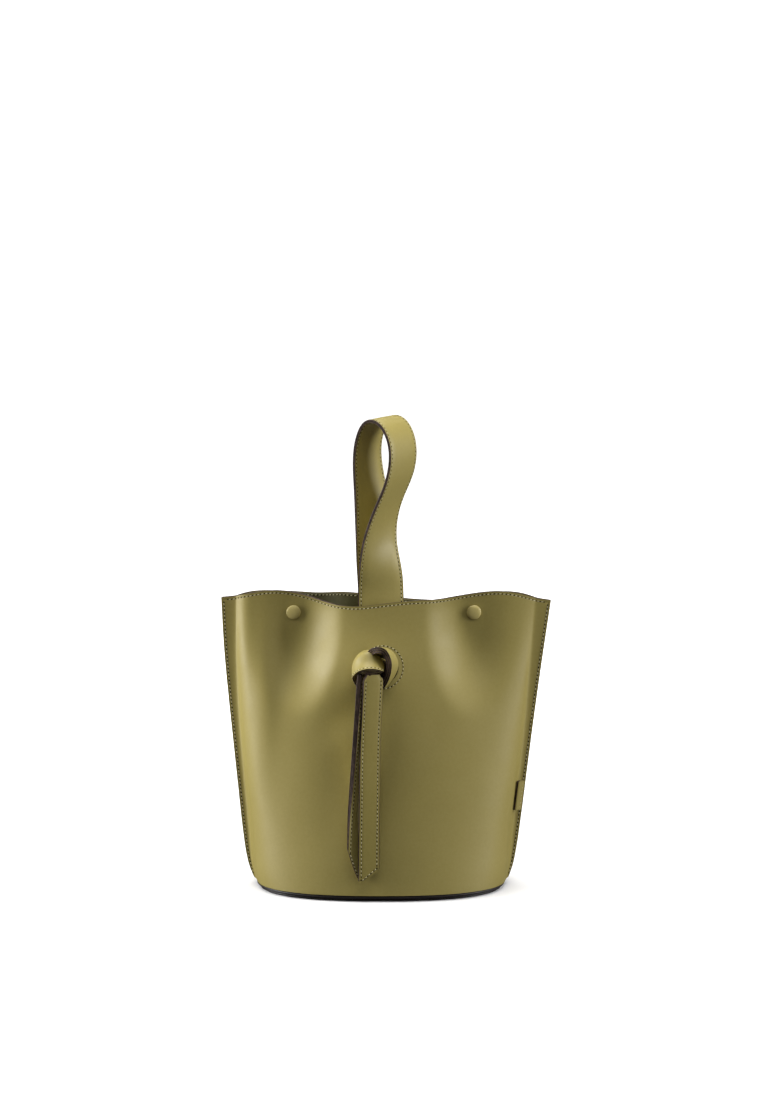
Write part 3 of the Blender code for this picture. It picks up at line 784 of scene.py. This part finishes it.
def front_face_at(x, z, distance):
    """Point and normal on the front panel at a given x and z, at a distance from its inside face.

    Newton's method finds the column and row that give this x and z.
    """
    column, row, step = LAST_COLUMN / 2, LAST_ROW / 2, 0.01
    for _ in range(12):
        here, normal = panel_surface(-1, [column], [row], distance)
        beside, _ = panel_surface(-1, [column + step], [row], distance)
        above, _ = panel_surface(-1, [column], [row + step], distance)
        slope = np.stack([beside - here, above - here], axis=-1)[0, 0] / step
        error = np.array([x, z]) - here[0, 0, ::2]
        change = np.linalg.solve(slope[::2], error)
        column = float(np.clip(column + change[0], 0, LAST_COLUMN))
        row = float(np.clip(row + change[1], 0, LAST_ROW))
    return here[0, 0], normal[0, 0]


# ---------------- base
def base_outline(inset, count):
    """Points of the base's superellipse, drawn in by an inset, and directions away from its middle."""
    turn = 2 * np.pi * np.arange(count) / count
    x = np.sign(np.cos(turn)) * np.abs(np.cos(turn)) ** (2 / BASE_ROUNDNESS)
    y = np.sign(np.sin(turn)) * np.abs(np.sin(turn)) ** (2 / BASE_ROUNDNESS)
    outline = np.stack([(BASE_HALF_LENGTH - inset) * x, (BASE_HALF_DEPTH - inset) * y], axis=1)
    return outline, unit(outline)


def base_plate(name, node, inset, low, high, edge, slot, *materials):
    """Flat oval plate with rounded edges."""
    outline, outward = base_outline(inset, 160)
    middle = (low + high) / 2
    reach = min(edge, (high - low) / 2)
    straight = (high - low) / 2 - reach
    layers = [(outline * 0.6, high)]
    for angle in np.radians(steps(90, -90, 8)):
        corner = middle + straight * (math.sin(angle) > 0.01) - straight * (math.sin(angle) < -0.01)
        shift = edge - reach * math.cos(angle)
        layers.append((outline - outward * shift, corner + reach * math.sin(angle)))
    layers.append((outline * 0.6, low))
    rows = [np.column_stack([line, np.full(len(line), z)]) for line, z in layers]
    mesh = grid_mesh(name, rows, flip=True, wrap=True)
    close_mesh(mesh)
    mesh.set_sharp_from_angle(angle=math.radians(60))
    obj = make_object(name, mesh, *materials)
    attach(obj, "root")
    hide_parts(node)


def base_welt():
    """Round welt along the seam between panels and base."""
    outset, sides = 0.2, 14
    outline, outward = base_outline(-outset, 220)
    height = BASE_LEATHER_THICK + GAP + WELT_RADIUS
    rows = []
    for side in range(sides + 1):
        turn = 2 * math.pi * side / sides
        shift = outward * WELT_RADIUS * math.cos(turn)
        z = np.full(len(outline), height + WELT_RADIUS * math.sin(turn))
        rows.append(np.column_stack([outline + shift, z]))
    mesh = grid_mesh("base_welt", rows, flip=True, wrap=True)
    close_mesh(mesh, dist=0.00001)
    # The welt takes the near-black base leather: dark brown piping, darkened further as painted shade under
    # the panels.
    obj = make_object("base_welt_cord", mesh, SHADED_BASE_LEATHER)
    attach(obj, "root")
    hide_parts("base_welt")


# ---------------- straps
def strap_frames(path, count):
    """Centres, width directions and outer normals along a strap."""
    points = np.array([point[:3] for point in path], float)
    turns = np.radians([point[3] for point in path])
    widths = np.stack([np.cos(turns), np.sin(turns), np.zeros(len(path))], axis=1)
    positions = steps(0, len(path) - 1, count)
    centres = basis(len(path), positions) @ points
    ahead = basis(len(path), np.minimum(positions + 0.03, len(path) - 1)) @ points
    behind = basis(len(path), np.maximum(positions - 0.03, 0)) @ points
    forward = unit(ahead - behind)
    normals = unit(np.cross(forward, basis(len(path), positions) @ widths))
    across = np.cross(normals, forward)
    return centres, across, -normals


def strap_section(width, thick, plies):
    """Cross-section as (across, outwards) pairs, with stitch grooves and a notch between each two plies."""
    half, face = width / 2, thick / 2
    groove, depth, crown = 0.8, 0.2, 0.18
    line = half - STITCH_INSET
    top = [(-half + PLY_CORNER, face), (-line - groove, face), (-line, face - depth),
           (-line + groove, face + 0.03), (-line * 0.6, face + crown * 0.6),
           (-line * 0.3, face + crown * 0.9), (0, face + crown)]
    top += [(-across, up) for across, up in reversed(top[:-1])]
    right = [(half - 0.15, face - 0.15)]
    for ply in range(1, plies):
        up = face - thick * ply / plies
        right += [(half, up + 0.28), (half - NOTCH_DEPTH, up), (half, up - 0.28)]
    right.append((half - 0.15, -face + 0.15))
    bottom = [(across, -up) for across, up in reversed(top)]
    return top + right + bottom + [(-across, up) for across, up in reversed(right)]


def narrowing(count, pinch, spread):
    """Share of a strap's full width at each step along it: pinch at the start, 1 past the spread."""
    share = steps(0, 1, count)
    return (pinch + (1 - pinch) * soft_step(share / spread))[:, None]


def sweep_strap(name, path, width, thick, plies, count, end_rise=None, pinch=1.0, spread=1.0):
    """Strap of sewn plies: a closed section swept along the path, its edges painted dark."""
    centres, across, outward = strap_frames(path, count)
    section = strap_section(width, thick, plies)
    share = steps(0, 1, count)
    narrow = narrowing(count, pinch, spread)
    grid = np.zeros((count + 1, len(section), 3))
    for column, (sideways, up) in enumerate(section):
        grid[:, column] = centres + across * sideways * narrow + outward * up
        if end_rise is not None:
            grid[:, column, 2] += end_rise(sideways / width) * share
    mesh = grid_mesh(name, grid, wrap=True)
    close_mesh(mesh)
    mesh.shade_smooth()
    obj = make_object(name, mesh, STRAP_LEATHER, EDGE_PAINT, HOLE_SHADE)
    paint_edges(obj, section, width)
    mesh.set_sharp_from_angle(angle=math.radians(55))
    return obj


def paint_edges(obj, section, width):
    """Gives the edges and the ends the edge paint, and the notches between plies deep painted shade."""
    painted = width / 2 - PLY_CORNER - 0.02
    notch = width / 2 - NOTCH_DEPTH
    for face in obj.data.polygons:
        places = [abs(section[index % len(section)][0]) for index in face.vertices]
        if len(places) > 4 or all(place >= painted for place in places):
            face.material_index = 1
        elif any(abs(place - notch) < 0.01 for place in places):
            face.material_index = 2


def strap_stitch_lines(path, width, thick, count, end_rise=None, pinch=1.0, spread=1.0, first=0.0):
    """Stitch lines along both edges on both faces of a strap, from the share first of its length."""
    centres, across, outward = strap_frames(path, count)
    share = steps(0, 1, count)
    length = np.linalg.norm(centres[-1] - centres[0])
    lines = []
    lift = thick / 2 - 0.12
    for hand in (-1, 1):
        sideways = hand * (width / 2 - STITCH_INSET)
        for face in (-1, 1):
            points = centres + across * sideways * narrowing(count, pinch, spread) + outward * lift * face
            last = count + 1
            if end_rise is not None:
                points[:, 2] += end_rise(sideways / width) * share
                last = int((1 - STITCH_INSET * 1.3 / length) * count)
            keep = slice(int(first * count), last)
            lines.append((points[keep], (outward * face)[keep]))
    return lines


def end_stitch_lines(path, width, thick, count, end_rise):
    """Stitch lines across a tail's slanted end."""
    centres, across, outward = strap_frames(path, count)
    lines = []
    shares = steps(-0.5 + STITCH_INSET / width, 0.5 - STITCH_INSET / width, 12)
    for face in (-1, 1):
        points, normals = [], []
        for share in shares:
            point = centres[-1] + across[-1] * width * share + outward[-1] * (thick / 2 + 0.05) * face
            point[2] += end_rise(share) + STITCH_INSET * 1.3
            points.append(point)
            normals.append(outward[-1] * face)
        lines.append((points, normals))
    return lines


def handle_strap():
    """The whole strap from the tie hole over the loop to the back anchor, bending at the rim."""
    obj = sweep_strap("handle_strap", STRAP_PATH, STRAP_WIDTH, STRAP_THICK, STRAP_PLIES, STRAP_STEPS)
    lines = strap_stitch_lines(STRAP_PATH, STRAP_WIDTH, STRAP_THICK, STRAP_STEPS)
    sewn = stitches("handle_stitches", lines)
    for piece in (obj, sewn):
        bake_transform(piece)
    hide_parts("handle_outer", "handle_inner", "strap_front_run_outer", "strap_front_run_inner",
                "strap_rear_run_outer", "strap_rear_run_inner")


def front_tail_end(share):
    """Rise of the front tail's slanted end at a share of its width; the low corner is rounded."""
    corner = max(0.0, 1 - (share + 0.5) / 0.25)
    return FRONT_TAIL_BEVEL * (share + 0.5) + 5.0 * corner**2


def rear_tail_end(share):
    """Rise of the rear tail's end at a share of its width: only its left half is cut slanted."""
    return REAR_TAIL_BEVEL * max(0.0, -2 * share) ** 1.2


def tails():
    """The two hanging tails, cut slanted at the end.

    Each is pinched to a share of its width where it leaves the knot, and widens over a share of its length.
    """
    shapes = (
        ("tail_front", FRONT_TAIL_PATH, front_tail_end, 0.66, 0.075),
        ("tail_rear", REAR_TAIL_PATH, rear_tail_end, 0.6, 0.45),
    )
    size = (TAIL_WIDTH, TAIL_THICK)
    for body, path, end_rise, pinch, spread in shapes:
        obj = sweep_strap(body + "_strap", path, *size, TAIL_PLIES, TAIL_STEPS, end_rise, pinch, spread)
        lines = strap_stitch_lines(path, *size, TAIL_STEPS, end_rise, pinch, spread, first=0.08)
        lines += end_stitch_lines(path, *size, TAIL_STEPS, end_rise)
        sewn = stitches(body + "_stitches", lines)
        for piece in (obj, sewn):
            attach(piece, body)
        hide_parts(body + "_outer", body + "_inner")


# ---------------- knot
def through(points, count):
    """Points of a smooth curve that passes through the given ones."""
    places = np.arange(len(points))
    rows = np.array(points, float).reshape(len(points), -1)
    controls = np.linalg.solve(basis(len(points), places), rows)
    return basis(len(points), steps(0, len(points) - 1, count)) @ controls


def band(name, rails, thickness, layers):
    """Part of the knot: stacked plies that pass through rails, from the front edge to the back edge.

    Returns the plies and the stitch line along the front edge.
    """
    count, across = 84, 16
    lines = np.array([through(rail, count) for rail in rails])
    grid = through(lines, across).reshape(across + 1, count + 1, 3).transpose(1, 0, 2)
    normal = unit(np.cross(np.gradient(grid, axis=0), np.gradient(grid, axis=1)))
    inwards = np.sum(normal * (grid - np.array(KNOT_MIDDLE))) < 0
    if inwards:
        normal = -normal
    pieces = []
    for layer in range(layers):
        shifted = grid - normal * (thickness + 0.1) * layer
        mesh = grid_mesh(name, shifted, flip=not inwards)
        obj = make_object(f"{name}_{layer + 1}", mesh, KNOT_LEATHER, EDGE_PAINT)
        solidify(obj, thickness, False, rim_material=1)
        bevel(obj, 0.35, 2)
        apply_modifiers(obj)
        pieces.append(obj)
    step = np.linalg.norm(grid[count // 2, 1] - grid[count // 2, 0])
    row = max(int(round(STITCH_INSET / step)), 1)
    return pieces, (grid[:, row] - normal[:, row] * 0.05, normal[:, row])


KNOT_MIDDLE = (-5.0, -44.0, 196.0)
CORE_MIDDLE = np.array((-6.0, -42.0, 194.0))
CORE_REACH = np.array((11.0, 9.0, 10.5))
NECK_SHIFT = np.array((6.0, 5.0, 0.0))
NECK_START = -39.0
RING_PLY = 1.7
RING_PLIES = 3
WRAP_PLY = 1.6
WRAP_PLIES = 5

# Rails of the knot's ring and of its wrap: each runs from one end of the band to the other
RING_FRONT = (
    (-11.4, -48, 211.5), (-7.8, -51.5, 214.9), (-3.6, -54.5, 216.4), (0.8, -56.5, 216.4),
    (4.9, -57.5, 213.8), (7.7, -57.5, 208.6), (9.1, -57, 202), (8.3, -56, 194.2), (5.9, -54, 186.4),
    (2.5, -51, 179.8),
)
RING_BACK = (
    (-12.7, -37, 205.8), (-8.4, -37, 208.4), (-3.4, -37, 210.5), (2.5, -37, 212.1), (8.6, -37, 210.5),
    (12.7, -37, 205.6), (14.7, -37.5, 199.2), (13.9, -38, 193.1), (10.4, -39, 186.4), (4.2, -41, 178.8),
)
RING_BULGE = (0, 0, 0, 0.3, 0.8, 1, 1, 1, 0.8, 0.3)
WRAP_EDGE = (
    (-20.7, -38, 178.5), (-24, -44, 186.1), (-23.4, -51, 190.9), (-19.9, -57.5, 195.6),
    (-14.7, -61, 198.4), (-9.2, -62, 199.2), (-3.4, -60, 198.4), (2.5, -55, 195.6),
)
WRAP_LOW = (
    (-22.4, -37, 185.6), (-24.6, -42.5, 192.7), (-23.8, -48, 197.6), (-19.8, -52, 201.4),
    (-14.3, -54.5, 203.4), (-8.4, -55, 203.8), (-2.5, -53, 202.6), (2.5, -49, 199.6),
)
WRAP_HIGH = (
    (-22, -36, 194), (-23.5, -41, 200.1), (-21.5, -46, 205), (-17.4, -49, 208), (-12.6, -50.5, 209.5),
    (-7.6, -50.5, 209.4), (-2.9, -48.5, 207.3), (1.3, -45.5, 203.8),
)
WRAP_TOP = (
    (-18.6, -35, 201.6), (-20.1, -38, 205.3), (-18.1, -41, 208.9), (-14.7, -43, 211.2),
    (-11, -44.5, 212.3), (-7.6, -44.5, 212.1), (-4.6, -43, 210.1), (-1.3, -41, 206.6),
)


def tie_knot():
    """Knotted strap in front of the tie hole: a ring on the right and a bell-shaped wrap on the left."""
    ring_middle = (np.array(RING_FRONT) + np.array(RING_BACK)) / 2
    ring_middle[:, 0] += RING_BULGE
    ring_middle[:, 2] += 0.4
    ring, _ = band("knot_ring", (RING_FRONT, ring_middle, RING_BACK), RING_PLY, RING_PLIES)
    rails = (WRAP_EDGE, WRAP_LOW, WRAP_HIGH, WRAP_TOP)
    wrap, sewn = band("knot_wrap", rails, WRAP_PLY, WRAP_PLIES)
    made = ring + wrap + [knot_core(), stitches("knot_stitches", [sewn])]
    for piece in made:
        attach(piece, "root")
    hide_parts("tie_knot")


def knot_core():
    """Packed inside of the knot, dark in front, with its leather neck down into the hole. The dark front is
    partly the strap's painted edges and partly painted shade inside the knot.
    """
    bpy.ops.mesh.primitive_uv_sphere_add(segments=40, ring_count=20, radius=1.0)
    core = bpy.context.object
    core.name = "knot_core"
    for vertex in core.data.vertices:
        neck = soft_step((vertex.co.y + 0.1) / 0.9)
        vertex.co = (CORE_MIDDLE + CORE_REACH * np.array(vertex.co) + NECK_SHIFT * neck) * MM
    # Front faces take the edge paint: partly strap edges, partly painted shade inside the knot.
    for item in (EDGE_PAINT, KNOT_LEATHER):
        core.data.materials.append(item)
    for face in core.data.polygons:
        face.material_index = int(face.center.y > NECK_START * MM)
    core.data.shade_smooth()
    return core


# ---------------- small parts
def turned(name, profile, place, direction, *materials):
    """Solid turned about its local Z from a profile that runs from the top of the axis to the bottom."""
    mesh = bpy.data.meshes.new(name)
    points = [(radius * MM, 0.0, height * MM) for radius, height in profile]
    mesh.from_pydata(points, [(i, i + 1) for i in range(len(profile) - 1)], [])
    obj = make_object(name, mesh, *materials)
    obj.location = Vector(place) * MM
    obj.rotation_euler = Vector(direction).to_track_quat("Z", "Y").to_euler()
    screw = obj.modifiers.new("Turn", "SCREW")
    screw.steps = screw.render_steps = 48
    screw.use_merge_vertices = True
    screw.merge_threshold = 0.000001
    screw.use_smooth_shade = True
    return apply_modifiers(obj)


def snap_caps():
    """Leather-covered press stud caps: a soft dome with a turned-under rim on a short post."""
    dome = [(0, 2.55)]
    dome += [(SNAP_CAP_RADIUS * math.sin(a), 0.75 + 1.8 * math.cos(a) ** 0.8) for a in steps(0.15, 1.45, 9)]
    dome += [(SNAP_CAP_RADIUS + 0.02, 0.55), (SNAP_CAP_RADIUS - 0.12, 0.2), (SNAP_CAP_RADIUS - 0.5, 0.0),
             (1.5, 0.0), (1.5, -3.6), (0, -3.6)]
    for hand, x in SNAP_X.items():
        for side, node in ((-1, "snap_cap_"), (1, "snap_rear_cap_")):
            place = (x, side * (SNAP_DEPTH + PANEL_THICK + SNAP_CAP_LIFT), SNAP_Z)
            # The caps take the olive leather brightened as painted highlight.
            obj = turned(node + hand + "_cover", dome, place, (0, side, 0), LIT_CAP_LEATHER)
            obj.data.set_sharp_from_angle(angle=math.radians(60))
            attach(obj, "root")
            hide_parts(node + hand)


def side_tab():
    """Leather tab folded double, its ends sewn to the right flange and its fold lifted."""
    right, left = -1.5, -6.0
    back_y = -(GAP / 2 + PANEL_THICK + GAP + TAB_THICK + TAB_ROOM)
    fold = 0.9
    lifted = back_y - TAB_LIFT
    section = [(right + (left - right) * s, back_y + (lifted - back_y) * s * s) for s in steps(0, 1, 6)]
    section += [(left + fold * math.cos(a), lifted - fold + fold * math.sin(a))
                for a in np.radians(steps(90, 270, 12)[1:])]
    section += [(left + (right - left) * s, lifted - 2 * fold + (back_y - lifted) * s)
                for s in steps(0, 1, 6)[1:]]
    grid = [[(interpolate(RIGHT_SEAM, z) + x, y, z) for x, y in section]
            for z in steps(TAB_LOW, TAB_HIGH, 16)]
    obj = make_object("side_tab_leather", grid_mesh("side_tab", grid), KNOT_LEATHER, EDGE_PAINT)
    # The fold's middle columns take the dark edge paint as painted shade in the slit under the lifted fold.
    for face in obj.data.polygons:
        column = min(index % len(section) for index in face.vertices)
        face.material_index = int(5 <= column <= 16)
    solidify(obj, TAB_THICK, True, rim_material=1)
    bevel(obj, 0.2)
    apply_modifiers(obj)
    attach(obj, "root")
    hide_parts("side_tab")
    points = [(interpolate(RIGHT_SEAM, z) - 2.6, back_y - 2 * fold - TAB_THICK - 0.5, z)
              for z in steps(TAB_LOW + 1, TAB_HIGH - 1, 10)]
    sewn = stitches("side_tab_stitches", [(points, [(0.3, -1.0, 0.0)] * len(points))])
    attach(sewn, "root")


def finish_cad_nodes():
    """Materials for the CAD nodes that stay as they are."""
    for node, finish in (("base_board", BOARD), ("strap_anchor_patch", SHADED_INSIDE_LEATHER),
                         ("snap_socket_left", METAL), ("snap_socket_right", METAL),
                         ("snap_stud_left", METAL), ("snap_stud_right", METAL)):
        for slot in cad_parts[node].material_slots:
            slot.material = finish


# ---------------- studio
def studio():
    """Pale round floor that curves up all around the bag, soft lights from both sides and above."""
    reach, bend = 5200, 800
    profile = [(5, 0), (1000, 0), (reach, 0)]
    profile += [(reach + bend * math.sin(a), bend * (1 - math.cos(a))) for a in steps(0.1, math.pi / 2, 12)]
    profile += [(reach + bend, 6000)]
    turns = steps(0, 2 * math.pi, 64)[:-1]
    grid = [[(radius * math.cos(turn), radius * math.sin(turn), z) for turn in turns]
            for radius, z in profile]
    mesh = grid_mesh("studio_floor", grid, wrap=True)
    floor = make_object("studio_floor", mesh, floor_material("floor_white"))
    floor.location.z = -0.0002
    floor.visible_diffuse = False
    floor.visible_glossy = False

    lights = (
        ("key_left", (-1.30, -0.14, 0.45), 0.6, 1.2, 34.0),
        ("fill_right", (1.3, -0.30, 0.55), 0.5, 1.0, 19.0),
        ("front_top", (0.15, -0.9, 1.45), 0.8, 0.6, 5.0),
        ("top", (0.0, 0.25, 1.7), 1.4, 1.2, 33.0),
    )
    for name, place, width, height, power in lights:
        lamp = bpy.data.lights.new(name, "AREA")
        lamp.shape = "RECTANGLE"
        lamp.size, lamp.size_y = width, height
        lamp.energy = power
        obj = bpy.data.objects.new(name, lamp)
        bpy.context.scene.collection.objects.link(obj)
        obj.location = place
        target = Vector((0, 0, 0.15))
        obj.rotation_euler = (target - Vector(place)).to_track_quat("-Z", "Y").to_euler()

    world = bpy.data.worlds.new("studio_world")
    bpy.context.scene.world = world
    world.use_nodes = True
    background = world.node_tree.nodes["Background"]
    background.inputs["Color"].default_value = (1.0, 1.0, 1.0, 1.0)
    background.inputs["Strength"].default_value = 0.12
    bpy.context.scene.view_settings.view_transform = "Standard"


def camera():
    """Long lens from the front, a little above the bag, as the reference view."""
    data = bpy.data.cameras.new("camera")
    data.sensor_fit = "VERTICAL"
    data.sensor_height = 36.0
    data.lens = 135.4
    data.clip_end = 50.0
    obj = bpy.data.objects.new("camera", data)
    bpy.context.scene.collection.objects.link(obj)
    place, target = Vector((0.0, -3.47, 0.865)), Vector((0.0, 0.0, 0.290))
    obj.location = place
    obj.rotation_euler = (target - place).to_track_quat("-Z", "Y").to_euler()
    bpy.context.scene.camera = obj


camera()
studio()
for side in SIDES:
    leather_panel(side)
for side, part in SIDES.items():
    inside_sheet(part + "_facing", side, FACING_ROWS, FACING_THICK, "olive_leather",
                 SHADED_INSIDE_LEATHER, EDGE_PAINT)
for side, part in SIDES.items():
    inside_sheet(part + "_lining", side, LINING_ROWS, LINING_THICK, "lining_cloth", LINING)
panel_stitches()
hole_stitches()
hole_patch()
# Sole in dark brown leather, darkened further to near black as painted shade along the foot.
base_plate("base_sole", "base_leather", 1.0, 0.0, BASE_LEATHER_THICK, 0.9, "dark_leather", SHADED_BASE_LEATHER)
base_plate("base_lining_cloth", "base_lining", 2.2, 4.8, 5.6, 0.4, "lining_cloth", LINING)
base_welt()
handle_strap()
tie_knot()
tails()
snap_caps()
side_tab()
finish_cad_nodes()
